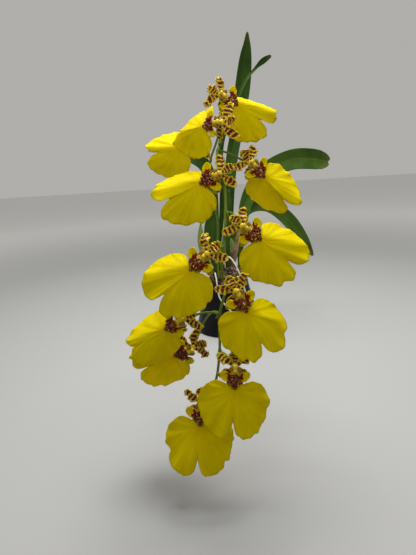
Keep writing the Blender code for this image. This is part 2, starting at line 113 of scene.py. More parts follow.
class Shader:
    """A material with a Principled shader, and short ways to add the nodes that drive it."""

    def __init__(self, name, roughness, specular=0.5):
        self.material = bpy.data.materials.new(name)
        self.material.use_nodes = True
        self.tree = self.material.node_tree
        self.main = self.tree.nodes["Principled BSDF"]
        self.roughness(roughness)
        self.main.inputs["Specular IOR Level"].default_value = specular

    def add(self, kind, **settings):
        made = self.tree.nodes.new(kind)
        for key, value in settings.items():
            setattr(made, key, value)
        return made

    def feed(self, socket, value):
        """Links another node's socket in, or sets a number, or a colour with its alpha."""
        if isinstance(value, bpy.types.NodeSocket):
            self.tree.links.new(value, socket)
        elif value is not None:
            socket.default_value = (*value, 1) if isinstance(value, tuple) else value

    def fill(self, node, **values):
        for name, value in values.items():
            self.feed(node.inputs[name], value)

    def attribute(self, name, output):
        return self.add("ShaderNodeAttribute", attribute_name=name).outputs[output]

    def petal(self):
        """Across the petal or round it, along it or out from its middle, and its seed."""
        split = self.add("ShaderNodeSeparateXYZ")
        self.feed(split.inputs[0], self.attribute("petal", "Vector"))
        return list(split.outputs)

    def place(self):
        return self.add("ShaderNodeTexCoord").outputs["Object"]

    def joined(self, x, y, z):
        made = self.add("ShaderNodeCombineXYZ")
        for socket, value in zip(made.inputs, (x, y, z)):
            self.feed(socket, value)
        return made.outputs[0]

    def noise(self, where, scale, detail=3.0, roughness=0.5):
        made = self.add("ShaderNodeTexNoise")
        self.fill(made, Vector=where, Scale=scale, Detail=detail, Roughness=roughness)
        return made.outputs["Fac"]

    def grain(self, *settings):
        """Noise over the object's own space, with the scale, detail and roughness of noise()."""
        return self.noise(self.place(), *settings)

    def math(self, operation, a, b=None):
        made = self.add("ShaderNodeMath", operation=operation)
        for socket, value in zip(made.inputs, (a, b)):
            self.feed(socket, value)
        return made.outputs[0]

    def times(self, a, b):
        return self.math("MULTIPLY", a, b)

    def plus(self, a, b):
        return self.math("ADD", a, b)

    def spread(self, value, low, high, to_low=0.0, to_high=1.0):
        made = self.add("ShaderNodeMapRange", interpolation_type="SMOOTHSTEP")
        for socket, number in zip(made.inputs, (value, low, high, to_low, to_high)):
            self.feed(socket, number)
        return made.outputs[0]

    def mix(self, share, a, b, blend="MIX"):
        made = self.add("ShaderNodeMix", data_type="RGBA", blend_type=blend)
        self.feed(made.inputs["Factor"], share)
        for name, value in (("A", a), ("B", b)):
            self.feed([s for s in made.inputs if s.name == name and s.type == "RGBA"][0], value)
        return [s for s in made.outputs if s.type == "RGBA"][0]

    def bump(self, height, distance, strength):
        made = self.add("ShaderNodeBump")
        self.fill(made, Height=height, Distance=distance, Strength=strength)
        self.feed(self.main.inputs["Normal"], made.outputs[0])

    def colour(self, value):
        self.feed(self.main.inputs["Base Color"], value)

    def roughness(self, value):
        self.feed(self.main.inputs["Roughness"], value)

    def let_light_through(self, colour, tint, share):
        """Thin petals and leaves show some of the light behind them."""
        through = self.add("ShaderNodeBsdfTranslucent")
        self.feed(through.inputs["Color"], self.mix(1.0, colour, tint, "MULTIPLY"))
        both = self.add("ShaderNodeMixShader")
        both.inputs["Fac"].default_value = share
        self.feed(both.inputs[1], self.main.outputs[0])
        self.feed(both.inputs[2], through.outputs[0])
        self.feed(self.tree.nodes["Material Output"].inputs["Surface"], both.outputs[0])


# ---- materials

def lip_material():
    """Bright yellow, with fan-shaped veins, a paler ruffled edge and dark blotches round the crest."""
    s = Shader("lip_yellow", 0.42, 0.03)
    angle, reach, seed = s.petal()
    veins = s.noise(s.joined(s.times(angle, 9.0), s.times(reach, 0.8), seed), 3.0, 4.0, 0.6)
    cloud = s.noise(s.joined(angle, s.times(reach, 2.0), seed), 1.6, 2.0)
    yellow = s.mix(s.spread(veins, 0.35, 0.7), (0.64, 0.525, 0.0), (0.72, 0.60, 0.0))
    yellow = s.mix(s.spread(cloud, 0.3, 0.75, 0.0, 0.4), yellow, (0.78, 0.67, 0.0))
    yellow = s.mix(s.spread(reach, 0.0, 0.35, 0.3, 0.0), yellow, (0.70, 0.42, 0.0))
    freckles = s.times(s.math("SUBTRACT", s.grain(700.0, 2.0, 0.6), 0.5), 1.1)
    dark = s.spread(s.plus(s.attribute("spot", "Fac"), freckles), 0.42, 0.58)
    red = s.mix(s.grain(420.0), (0.13, 0.008, 0.003), (0.26, 0.028, 0.006))
    colour = s.mix(dark, yellow, red)
    s.colour(colour)
    s.roughness(s.spread(veins, 0.3, 0.7, 0.58, 0.72))
    s.bump(s.plus(veins, s.times(s.grain(2600.0, 2.0), 0.25)), 0.0004, 0.4)
    s.let_light_through(colour, (1.0, 0.97, 0.3), 0.4)
    return s.material


def tepal_material():
    """Yellow with broad red-brown bars that break up towards the edges."""
    s = Shader("tepal_barred", 0.4, 0.25)
    across, along, seed = s.petal()
    sway = s.noise(s.joined(s.times(across, 0.9), s.times(along, 2.5), seed), 1.7, 2.0)
    phase = s.plus(s.times(along, 29.0), s.times(sway, 7.0))
    bars = s.math("SINE", phase)
    inside = s.times(s.spread(s.math("ABSOLUTE", across), 0.96, 0.62), s.spread(along, 0.97, 0.86))
    dark = s.times(s.spread(bars, -0.6, -0.2), inside)
    tone = s.grain(500.0)
    yellow = s.mix(tone, (0.58, 0.42, 0.005), (0.72, 0.57, 0.01))
    red = s.mix(tone, (0.09, 0.007, 0.004), (0.19, 0.018, 0.006))
    colour = s.mix(dark, yellow, red)
    s.colour(colour)
    s.bump(s.noise(s.joined(s.times(across, 7.0), along, seed), 2.0, 3.0), 0.0004, 0.6)
    s.let_light_through(colour, (1.0, 0.9, 0.4), 0.25)
    return s.material


def crest_material():
    """Shiny dark red-brown warts, tipped with yellow flecks."""
    s = Shader("crest_red", 0.32, 0.3)
    tone = s.grain(900.0, 3.0, 0.6)
    red = s.mix(s.grain(350.0), (0.055, 0.004, 0.002), (0.14, 0.012, 0.004))
    s.colour(s.mix(s.spread(tone, 0.57, 0.63), red, (0.62, 0.38, 0.01)))
    s.bump(tone, 0.0003, 0.7)
    return s.material


def column_material():
    """Cream column that turns yellow lower down, with a few brown flecks."""
    s = Shader("column_cream", 0.35, 0.2)
    tone = s.grain(420.0, 3.0)
    cream = s.mix(s.spread(tone, 0.42, 0.66), (0.56, 0.39, 0.01), (0.70, 0.55, 0.06))
    flecks = s.spread(s.grain(1500.0, 1.0), 0.66, 0.72)
    s.colour(s.mix(flecks, cream, (0.25, 0.05, 0.015)))
    s.bump(tone, 0.0002, 0.5)
    return s.material


def leaf_material(name, dark, light, rib, roughness):
    """Leathery green with parallel veins, a paler midrib and blotchy tone."""
    s = Shader(name, roughness, 0.14)
    across, along, seed = s.petal()
    veins = s.noise(s.joined(s.times(across, 16.0), s.times(along, 1.2), seed), 2.0, 3.0)
    blotch = s.grain(45.0, 4.0, 0.6)
    green = s.mix(s.spread(blotch, 0.32, 0.7), dark, light)
    green = s.mix(s.spread(veins, 0.42, 0.66, 0.0, 0.4), green, light)
    green = s.mix(s.spread(s.math("ABSOLUTE", across), 0.09, 0.0, 0.0, 0.75), green, rib)
    green = s.mix(s.spread(along, 0.93, 1.0, 0.0, 0.5), green, (0.16, 0.12, 0.03))
    s.colour(green)
    s.roughness(s.spread(veins, 0.3, 0.7, roughness - 0.06, roughness + 0.1))
    s.bump(s.plus(veins, s.times(s.grain(900.0), 0.3)), 0.0004, 0.45)
    s.let_light_through(green, (0.9, 1.0, 0.3), 0.12)
    return s.material


def stem_material():
    """Yellow-green stem with fine lengthwise streaks and faint purple-brown flecks."""
    s = Shader("stem_green", 0.38, 0.15)
    across, along, _ = s.petal()
    streaks = s.noise(s.joined(s.times(across, 9.0), along, 0.0), 6.0)
    green = s.mix(s.spread(streaks, 0.3, 0.7), (0.075, 0.12, 0.004), (0.15, 0.21, 0.010))
    flecks = s.spread(s.grain(600.0, 2.0), 0.64, 0.74, 0.0, 0.5)
    s.colour(s.mix(flecks, green, (0.15, 0.09, 0.03)))
    s.bump(streaks, 0.0003, 0.5)
    return s.material


def bulb_material():
    """Pseudobulb green, yellower at the base, with dry brown scars."""
    s = Shader("bulb_green", 0.4)
    across, along, _ = s.petal()
    streaks = s.noise(s.joined(s.times(across, 5.0), along, 0.0), 4.0, 4.0)
    green = s.mix(s.spread(streaks, 0.3, 0.7), (0.07, 0.13, 0.02), (0.17, 0.25, 0.04))
    s.colour(s.mix(s.spread(along, 0.45, 0.0, 0.0, 0.8), green, (0.14, 0.10, 0.03)))
    s.bump(streaks, 0.0006, 0.5)
    return s.material


def dry_material(name, dark, light, roughness):
    """Dead, fibrous and matt: bark, dry sheaths and old roots."""
    s = Shader(name, roughness)
    rough = s.grain(160.0, 6.0, 0.65)
    fine = s.grain(900.0, 4.0, 0.6)
    tone = s.mix(s.spread(rough, 0.3, 0.72), dark, light)
    s.colour(s.mix(s.spread(fine, 0.5, 0.75, 0.0, 0.45), tone, light))
    s.bump(s.plus(rough, s.times(fine, 0.5)), 0.0012, 0.8)
    return s.material


def root_material():
    """Chalky white velamen with greenish and brownish stretches."""
    s = Shader("root_white", 0.75)
    tone = s.grain(90.0, 3.0)
    fine = s.grain(1400.0, 3.0)
    white = s.mix(s.spread(tone, 0.35, 0.7), (0.62, 0.60, 0.50), (0.42, 0.42, 0.28))
    s.colour(s.mix(s.spread(fine, 0.55, 0.8, 0.0, 0.35), white, (0.36, 0.30, 0.18)))
    s.bump(fine, 0.0003, 0.5)
    return s.material


def pot_material():
    """Black moulded plastic with a soft gloss, faint scuffs and dust."""
    s = Shader("pot_black", 0.3, 0.12)
    scuffs = s.grain(60.0, 6.0, 0.7)
    dust = s.spread(s.grain(350.0, 4.0, 0.6), 0.58, 0.8, 0.0, 0.06)
    black = s.mix(s.spread(scuffs, 0.3, 0.75), (0.003, 0.003, 0.0035), (0.006, 0.006, 0.007))
    s.colour(s.mix(dust, black, (0.10, 0.095, 0.09)))
    s.roughness(s.spread(scuffs, 0.3, 0.7, 0.24, 0.4))
    s.bump(s.grain(1500.0, 2.0), 0.0001, 0.3)
    return s.material


# ---- mesh helpers

def link(obj):
    bpy.context.scene.collection.objects.link(obj)


def new_object(name, vertices, faces, material, petal=None, spot=None):
    """A smooth mesh. petal holds each point's place on its own petal, and spot how dark it may turn."""
    mesh = bpy.data.meshes.new(name)
    mesh.from_pydata([tuple(v) for v in vertices], [], faces)
    if petal is not None:
        layer = mesh.attributes.new("petal", "FLOAT_VECTOR", "POINT")
        layer.data.foreach_set("vector", [n for p in petal for n in p])
    if spot is not None:
        layer = mesh.attributes.new("spot", "FLOAT", "POINT")
        layer.data.foreach_set("value", spot)
    mesh.update()
    mesh.shade_smooth()
    obj = bpy.data.objects.new(name, mesh)
    link(obj)
    mesh.materials.append(material)
    return obj


def flipped(faces):
    return [tuple(reversed(face)) for face in faces]


def grid_faces(rows, columns, closed=False, first=0):
    """Quads over a grid of points, closed round each row for a tube."""
    faces = []
    for i in range(rows - 1):
        for j in range(columns if closed else columns - 1):
            after = (j + 1) % columns
            a = first + i * columns
            faces.append((a + j, a + after, a + columns + after, a + columns + j))
    return faces


def capped_faces(rows, sides):
    """The wall of a tube and its two flat ends."""
    ends = [tuple(reversed(range(sides))), tuple(range((rows - 1) * sides, rows * sides))]
    return grid_faces(rows, sides, closed=True) + ends


def dome_faces(rings, sides):
    """Triangles round the first point, then quads from ring to ring."""
    fan = [(0, 1 + j, 1 + (j + 1) % sides) for j in range(sides)]
    return fan + flipped(grid_faces(rings, sides, closed=True, first=1))


def spaced(count, low=0.0):
    """Evenly spaced numbers from low to one."""
    return [low + (1 - low) * i / (count - 1) for i in range(count)]


def angles_round(count):
    """Evenly spaced angles round a full turn."""
    return [2 * pi * j / count for j in range(count)]


def polar_point(radius, angle, height):
    return Vector((radius * cos(angle), radius * sin(angle), height))


def turned_points(profile, sides):
    """The points of a turned shape, ring by ring, from its radii and heights."""
    return [polar_point(radius, angle, height) for radius, height in profile for angle in angles_round(sides)]


def ripple(x, y, z):
    """Smooth noise between -1 and 1."""
    return noise.noise(Vector((x, y, z)))


def squared(out, along):
    """The part of out that is at a right angle to along, at length one."""
    return (out - along * out.dot(along)).normalized()


def heading(route, i):
    """The direction of a route at one of its points."""
    return (route[min(i + 1, len(route) - 1)] - route[max(i - 1, 0)]).normalized()


def apply_modifiers(obj):
    """Turns the object's modifiers into its mesh."""
    graph = bpy.context.evaluated_depsgraph_get()
    mesh = bpy.data.meshes.new_from_object(obj.evaluated_get(graph))
    obj.modifiers.clear()
    obj.data = mesh


def thicken(obj, thickness, offset=-1.0):
    shell = obj.modifiers.new("thickness", "SOLIDIFY")
    shell.thickness = thickness
    shell.offset = offset
    apply_modifiers(obj)
    return obj


def join(objects, name):
    """One object from several, keeping each one's materials."""
    with bpy.context.temp_override(active_object=objects[0], selected_editable_objects=objects):
        bpy.ops.object.join()
    objects[0].name = name
    objects[0].data.name = name
    return objects[0]


def curve_point(four, t):
    """The point at share t of the way between the middle two of four points, on a Catmull-Rom curve."""
    a, b, c, d = four
    return 0.5 * (2 * b + (c - a) * t + (2 * a - 5 * b + 4 * c - d) * t * t
                  + (3 * b - a - 3 * c + d) * t ** 3)


def smooth_route(points, count):
    """Evenly numbered points on the smooth curve through the given points."""
    ends = [2 * points[0] - points[1]] + points + [2 * points[-1] - points[-2]]
    route = []
    for step in range(count):
        place = step * (len(points) - 1) / (count - 1)
        i = min(int(place), len(points) - 2)
        route.append(curve_point(ends[i:i + 4], place - i))
    return route


def in_metres(points):
    return [Vector(p) * MM for p in points]


def tube(name, route, radius_at, sides, material):
    """A closed tube along the route. radius_at takes the share of the way and the angle round the stem."""
    vertices = []
    petal = []
    side = Vector((1, 0.2, 0.1))
    for i, centre in enumerate(route):
        along = heading(route, i)
        side = squared(side, along)
        other = along.cross(side)
        share = i / (len(route) - 1)
        for angle in angles_round(sides):
            out = side * cos(angle) + other * sin(angle)
            vertices.append(centre + out * radius_at(share, angle))
            petal.append((sin(angle), share * 20, 0.0))
    return new_object(name, vertices, capped_faces(len(route), sides), material, petal)


def egg(name, centre, radii, material, turn=None, lumps=0.0, seed=0.0, sides=16, rings=10):
    """A lumpy ellipsoid: radii along its own axes, turned by a rotation matrix."""
    turn = turn or Matrix.Identity(3)
    belts = [(sin(pi * i / rings), cos(pi * i / rings)) for i in range(1, rings)]
    vertices = [Vector((0, 0, radii[2]))]
    for out in turned_points(belts, sides):
        swell = 1 + lumps * noise.noise(out * 1.7 + Vector((seed, seed * 0.7, 0)))
        vertices.append(Vector((out.x * radii[0], out.y * radii[1], out.z * radii[2])) * swell)
    low = len(vertices)
    vertices.append(Vector((0, 0, -radii[2])))
    start = low - sides
    faces = dome_faces(rings - 1, sides) + [(low, start + (j + 1) % sides, start + j) for j in range(sides)]
    return new_object(name, [turn @ v + centre for v in vertices], faces, material)


def move(obj, matrix):
    obj.data.transform(matrix)
    return obj


# ---- flowers

# Half of the lip's outline, from the notch at the bottom, round the right lobe, to the neck under the column.
LIP_HALF = [
    (0, -23.6), (0.9, -27), (2.6, -30.6), (6.2, -32.6), (10.6, -31), (14.8, -27), (18.2, -21.2), (20.2, -15),
    (20.4, -9.6), (18.4, -4.4), (14.8, -1.0), (11, 0.3), (7.7, -0.4), (5.0, -1.4), (4.2, 0.8), (3.2, 3.6),
    (0, 4.6),
]
LIP_POLE = Vector((0, -5, 0))
LIP_SPOKES = 160
LIP_RINGS = 22
WHORL_CENTRE = Vector((0, 8.5, -2.6))
# Angle, length, half width and how far the tip bends back, for the dorsal sepal, petals and lateral sepals.
TEPALS = [(90, 9.5, 2.9, -1.0), (32, 12.0, 2.7, 4.0), (148, 12.0, 2.7, 4.0), (-40, 11.5, 2.3, 6.5),
          (220, 11.5, 2.3, 6.5)]
# Place on the lip, height and radius.
CREST_WARTS = [
    (0, 0.4, 1.9, 1.5), (2.1, 1.2, 1.5, 1.3), (-2.1, 1.1, 1.5, 1.3), (1.6, -1.5, 1.4, 1.2),
    (-1.6, -1.5, 1.4, 1.2), (0, -3.4, 1.2, 1.1), (3.6, -0.4, 1.0, 1.0), (-3.6, -0.3, 1.0, 1.0),
    (0.9, 2.8, 1.2, 1.2), (-0.9, 2.8, 1.2, 1.2), (3.2, 2.6, 0.9, 0.9), (-3.2, 2.6, 0.9, 0.9),
    (0.2, -1.3, 1.6, 1.0),
]
EAR_PLACE = (5.7, 3.2, 0.5)
EAR_RADII = (2.9, 2.6)
FOLD_SOFTNESS = 3.0
SIDE_SAG = 3.2
LIP_REACH = 20.0
LIP_THICKNESS = 0.45
PETAL_THICKNESS = 0.5
# How far the lip's edge goes in and out, as shares of the reach, then the height of each of its waves.
FRILL, NICK, CRIMP = 0.05, 0.13, 0.022
PLEAT, FINE_PLEAT, RUFFLE, DISH, BROAD_WAVE = 2.6, 0.55, 2.4, 0.9, 1.4


def eased(share, low, high):
    t = min(max((share - low) / (high - low), 0.0), 1.0)
    return t * t * (3 - 2 * t)


def flower_frame(crest, turns):
    """Matrix from a flower's own frame to the world."""
    yaw, pitch, roll = (radians(t) for t in turns)
    facing_front = Matrix(((1, 0, 0), (0, 0, -1), (0, 1, 0))).to_4x4()
    turn = Matrix.Rotation(yaw, 4, "Z") @ Matrix.Rotation(-pitch, 4, "X")
    return Matrix.Translation(Vector(crest) * MM) @ turn @ facing_front @ Matrix.Rotation(roll, 4, "Z")


def bent(x, y, folds):
    """Where a flat point of the lip goes when its half folds back about a line through the crest."""
    fold, hinge = (radians(turn) for turn in (folds[1] if x > 0 else folds[0]))
    beyond = max(abs(x) * cos(hinge) + y * sin(hinge), 0.0)
    swept = sqrt(beyond * beyond + FOLD_SOFTNESS ** 2) - FOLD_SOFTNESS
    inwards = swept * (1 - cos(fold))
    side = copysign(max(abs(x) - cos(hinge) * inwards, 0.0), x)
    back = swept * sin(fold) + SIDE_SAG * (x / LIP_REACH) ** 2
    return Vector((side, y - sin(hinge) * inwards, -back))


def make_lip_blade(name, folds, seed, material):
    """The lip's broad fan: its halves folded, its edge frilled and nicked, its face pleated."""
    half = [Vector((x, y, 0)) for x, y in LIP_HALF]
    loop = half + [Vector((-p.x, p.y, 0)) for p in half[-2:0:-1]]
    closed = [loop[-1]] + loop + loop[:2]
    each = LIP_SPOKES // len(loop)
    outline = [curve_point(closed[i:i + 4], step / each) for i in range(len(loop)) for step in range(each)]
    vertices = []
    petal = []
    spot = []
    drift = Vector((seed * 3.1, seed * 1.7, seed))
    for ring in range(LIP_RINGS + 1):
        reach = ring / LIP_RINGS
        for rim in outline if ring else outline[:1]:
            out = rim - LIP_POLE
            angle = atan2(out.x, -out.y)
            far = eased(out.length, 9.0, LIP_REACH)
            frill = ripple(angle * 8.0, 0.3, seed)
            nick = max(0.0, ripple(angle * 3.4, 5.0, seed) - 0.28) * 1.8 * far
            crimp = ripple(angle * 15.0, 8.0, seed)
            edge = 1 + (FRILL * frill - NICK * nick + CRIMP * crimp) * far * reach ** 3
            flat = LIP_POLE + out * reach * edge
            point = bent(flat.x, flat.y, folds)
            pleat = PLEAT * ripple(angle * 4.2, reach * 0.8, seed + 9.0)
            fine = FINE_PLEAT * ripple(angle * 13.0, reach * 0.7, seed + 2.0)
            ruffle = RUFFLE * ripple(angle * 6.0, 2.0, seed + 4.0)
            wave = pleat * reach ** 1.6 + fine * reach ** 2 + ruffle * reach ** 6
            dish = DISH * sin(pi * reach) * cos(angle)
            broad = noise.noise(flat * 0.07 + drift)
            point.z += wave * far + dish + BROAD_WAVE * broad * reach
            vertices.append(point)
            petal.append((angle, reach, seed))
            spot.append(max(0.0, 1.12 - hypot(flat.x / 6.0, (flat.y - 0.2) / 5.2)))
    faces = dome_faces(LIP_RINGS, len(outline))
    return thicken(new_object(name, vertices, faces, material, petal, spot), LIP_THICKNESS)


def make_ear(name, side, seed, material):
    """A small rounded side lobe of the lip beside the crest, cupped and tilted outwards."""
    vertices = []
    petal = []
    spot = []
    rings = 7
    angles = angles_round(28)
    across, up, front = EAR_PLACE
    for ring in range(rings + 1):
        reach = ring / rings
        for angle in angles if ring else angles[:1]:
            wobble = 1 + 0.08 * ripple(cos(angle), sin(angle), seed + side)
            x = EAR_RADII[0] * wobble * reach * cos(angle)
            y = EAR_RADII[1] * wobble * reach * sin(angle)
            z = 0.9 * reach ** 2 + 0.25 * sin(3 * angle + seed) * reach ** 3
            vertices.append(Vector((side * (across + x), up + y + 0.3 * x, front + z - 0.18 * x)))
            petal.append((angle, reach * 0.8, seed))
            spot.append(max(0.0, 0.66 - 0.17 * (x + 1.6) - 0.05 * abs(y)))
    faces = dome_faces(rings, len(angles))
    lobe = new_object(name, vertices, faces if side > 0 else flipped(faces), material, petal, spot)
    return thicken(lobe, PETAL_THICKNESS)


def make_lip(label, folds, seed, materials):
    """The fan and its two side lobes, with warts over the crest."""
    pieces = [make_lip_blade(label + "_lip_fan", folds, seed, materials["lip"])]
    for side in (1, -1):
        pieces.append(make_ear(label + "_ear", side, seed, materials["lip"]))
    for i, (x, y, high, radius) in enumerate(CREST_WARTS):
        lean = Matrix.Rotation(0.25 * sin(seed + i), 3, "X")
        place = Vector((x, y, 0.1 + high * 0.2))
        radii = (radius * 1.12, radius * 1.12, high * 0.85)
        pieces.append(egg(label + "_wart", place, radii, materials["crest"], lean, 0.35, seed + i, 10, 7))
    return join(pieces, label + "_lip_fan")


def make_tepal(name, shape, folds, seed, material):
    """A crimped sepal or petal on a narrow claw. The lower sepals fold back with the lip."""
    angle, length, half_width, reflex = shape
    rows = 20
    columns = 9
    along = polar_point(1, radians(angle), 0)
    across = Vector((-along.y, along.x, 0))
    vertices = []
    petal = []
    for share in spaced(rows):
        claw = 0.34 + 0.66 * eased(share, 0.12, 0.5)
        tip = sqrt(max(1 - (max(share - 0.6, 0) / 0.4) ** 2, 0.03))
        half = half_width * claw * tip
        sway = 2.6 * ripple(share * 1.6, seed, angle) * share
        twist = 1.9 * ripple(share * 1.3, seed + 3.0, angle) * share
        curl = 3.2 * ripple(share * 2.2, seed + 7.0, angle) * share
        for t in spaced(columns, -1):
            frill = ripple(share * 8.0, t * 1.1, seed + angle * 0.1)
            crimp = ripple(share * 9.0, t, seed + angle)
            lift = 3.4 * frill * abs(t) ** 1.4 * eased(share, 0.1, 0.5) - 0.7 * (1 - t * t) + twist * t * half
            back = reflex * share ** 2
            width = t * half * (1 + 0.55 * crimp * abs(t))
            place = WHORL_CENTRE + along * (1.0 + (length - 1.0) * share) + across * (width + sway)
            if along.y < 0:
                place = bent(place.x, place.y, folds) + Vector((0, 0, WHORL_CENTRE.z))
            vertices.append(place + Vector((0, 0, lift + curl - back)))
            petal.append((t, share, seed + angle * 0.13))
    faces = flipped(grid_faces(rows, columns))
    return thicken(new_object(name, vertices, faces, material, petal), PETAL_THICKNESS)


def make_whorl(label, folds, seed, materials):
    """Five barred sepals and petals, with the pale column, its cap and its two wings in the middle."""
    pieces = [make_tepal(label + "_tepal", shape, folds, seed, materials["tepal"]) for shape in TEPALS]
    hub = WHORL_CENTRE
    lean = Matrix.Rotation(0.5, 3, "X")
    for name, place, radii, *shape in (
        ("_hub", hub, (1.9, 1.9, 1.5), None, 0.15, seed, 14, 9),
        ("_neck", Vector((0, 5.0, -0.9)), (2.4, 2.9, 1.0), None, 0.2, seed, 14, 9),
        ("_column", hub + Vector((0, -1.4, 2.6)), (1.6, 2.0, 2.9), lean, 0.12, seed),
        ("_cap", hub + Vector((0, 0.2, 5.1)), (1.35, 1.3, 1.2), lean, 0.1, seed + 2),
    ):
        pieces.append(egg(label + name, place, radii, materials["column"], *shape))
    for side in (1, -1):
        turn = Matrix.Rotation(side * 0.6, 3, "Z")
        wing = hub + Vector((side * 2.1, -1.3, 3.9))
        pieces.append(egg(label + "_wing", wing, (1.5, 1.7, 0.5), materials["tepal"], turn, 0.3, seed, 12, 8))
    return join(pieces, label + "_sepals")


STALK_POINTS = 28
STALK_RADIUS = 0.68
BRACT_LENGTH = 4.5
PAPER_THICKNESS = 0.00025


def spike_place(route, side, height):
    """The spike's point at this height on the rising or hanging side of the arch, and its direction."""
    top = max(range(len(route)), key=lambda i: route[i].z)
    numbers = range(1, top) if side == RISING else range(top, len(route) - 1)
    nearest = min(numbers, key=lambda i: abs(route[i].z - height * MM))
    return route[nearest], heading(route, nearest)


def pedicel_route(turned, route, side, height):
    """The stalk's smooth way from just off the spike to just behind the whorl."""
    start, along = spike_place(route, side, height)
    back = turned @ ((WHORL_CENTRE + Vector((0, 0, -1.2))) * MM)
    inwards = (turned.to_3x3() @ Vector((0, 0.1, -1))).normalized()
    out = squared(back + inwards * 4 * MM - start, along)
    first = start + out * 0.8 * MM
    reach = (back - first).length
    handle = first + (out + Vector((0, 0, 0.4))).normalized() * reach * 0.35
    arrival = back + inwards * reach * 0.35
    return [first * (1 - t) ** 3 + 3 * handle * t * (1 - t) ** 2
            + 3 * arrival * t * t * (1 - t) + back * t ** 3 for t in spaced(STALK_POINTS)]


def pedicel_radius(share, angle):
    """Thin, a little wider at the spike, and swollen and six-ribbed where the ovary is."""
    ovary = eased(share, 0.45, 0.8)
    foot = 1 - eased(share, 0.0, 0.08)
    return (STALK_RADIUS + 0.42 * ovary + 0.4 * foot) * (1 + 0.06 * ovary * cos(6 * angle)) * MM


def make_bract(name, place, along, out, material):
    """A small dry scale that clasps the spike under a stalk."""
    rows = 8
    columns = 7
    across = along.cross(out).normalized()
    vertices = []
    petal = []
    for share in spaced(rows):
        for t in spaced(columns, -1):
            wrap = t * (1.5 * (1 - share) + 0.12)
            radius = (1.35 + 0.9 * share * share) * MM
            around = out * cos(wrap) + across * sin(wrap)
            vertices.append(place + around * radius + along * (share * BRACT_LENGTH - 1.2) * MM)
            petal.append((t, share, 0.0))
    made = new_object(name, vertices, grid_faces(rows, columns), material, petal)
    return thicken(made, PAPER_THICKNESS, 0.0)


def make_flowers(route, materials):
    bracts = []
    for number, (crest, side, height, turns, left, right, size) in enumerate(FLOWERS, start=1):
        label = f"flower_{number:02d}"
        seed = 1.7 * number
        turned = flower_frame(crest, turns)
        small = turned @ Matrix.Scale(MM, 4)
        lip = move(make_lip(label, (left, right), seed, materials), small @ Matrix.Scale(size, 4))
        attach(lip, "root")
        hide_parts(label + "_lip")
        whorl = move(make_whorl(label, (left, right), seed, materials), small)
        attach(whorl, "root")
        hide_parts(label + "_sepals_petals")
        path = pedicel_route(turned, route, side, height)
        stalk = tube(label + "_stalk", path, pedicel_radius, 14, materials["stem"])
        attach(stalk, "root")
        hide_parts(label + "_pedicel")
        place, along = spike_place(route, side, height)
        out = (path[3] - place).normalized()
        bracts.append(make_bract(label + "_bract", place, along, out, materials["stem"]))
    return bracts


# ---- spike, leaves, bulbs

def make_spike(route, bracts, material):
    """The arching stem, with a swollen joint under every stalk and three bare joints low down."""
    fine = smooth_route(in_metres(SPIKE_ROUTE), SPIKE_RINGS)
    joints = [spike_place(route, side, height)[0] for _, side, height, *_ in FLOWERS]
    bare = [fine[i] for i in BARE_JOINTS]
    swells = []
    for point in fine:
        near = min((point - joint).length for joint in joints + bare)
        swells.append(1 + 0.35 * exp(-(near / (1.6 * MM)) ** 2))

    def radius_at(share, angle):
        swell = swells[round(share * (len(fine) - 1))]
        tip = 1 - 0.75 * eased(share, 0.985, 1.0)
        return SPIKE_RADIUS * MM * (1 - 0.3 * share) * swell * tip * (1 + 0.03 * cos(5 * angle))

    pieces = [tube("spike", fine, radius_at, 20, material)]
    for i, point in enumerate(bare):
        along = (fine[fine.index(point) + 1] - point).normalized()
        out = along.cross(Vector((1, 0, 0))) * (1 if i % 2 else -1)
        out = squared((out + Vector((0.6, 0, 0))).normalized(), along)
        pieces.append(make_bract("spike_scale", point, along, out, material))
    spike = join(pieces + bracts, "spike")
    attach(spike, "root")
    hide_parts("flower_spike")


LEAF_THICKNESS = 0.0007
LEAF_EDGE = 0.0002
LEAF_WAVE = 0.9
NOTCH = 2.5
FOOT_IN_BARK = 8.0
FOOT_IN_BULB = 3.5


def make_leaf(name, points, keel, tip_turn, material, notch):
    """A strap leaf: folded along its midrib, gently waved at the margins, with a rounded or notched tip."""
    rows = 96
    columns = 17
    route = smooth_route(in_metres([point[:3] for point in points]), rows)
    widths = smooth_route([Vector((point[3], 0, 0)) for point in points], rows)
    length = sum((b - a).length for a, b in zip(route, route[1:]))
    seed = sum(ord(letter) for letter in name) * 0.37
    vertices = []
    petal = []
    for i, share in enumerate(spaced(rows)):
        along = heading(route, i)
        side = along.cross(Vector((0, -1, 0))).normalized()
        front = side.cross(along)
        turn = Matrix.Rotation(radians(tip_turn) * share ** 2, 3, along)
        side = turn @ side
        front = turn @ front
        half = widths[i].x / 2 * MM
        fold = keel * MM * min(1.0, half / (5 * MM)) * (1 + 0.9 * (1 - eased(share, 0.0, 0.16)))
        ending = eased(share, 1 - 1.6 * half / length, 1.0)
        for t in spaced(columns, -1):
            valley = sqrt(t * t + 0.02) - sqrt(0.02)
            wave = LEAF_WAVE * MM * ripple(share * 7.0, t * 0.6, seed) * abs(t) * eased(share, 0.05, 0.3)
            rounded = -0.9 * half * abs(t) ** 2.4 * ending - notch * MM * ending * max(0.0, 1 - abs(t) / 0.35)
            vertices.append(route[i] + side * (t * half) + front * (valley * fold + wave) + along * rounded)
            petal.append((t, share, seed))
    faces = grid_faces(rows, columns)
    leaf = thicken(new_object(name, vertices, faces, material, petal), LEAF_THICKNESS, 0.0)
    edge = leaf.modifiers.new("edge", "BEVEL")
    edge.width = LEAF_EDGE
    edge.limit_method = "ANGLE"
    edge.angle_limit = radians(50)
    apply_modifiers(leaf)
    return leaf


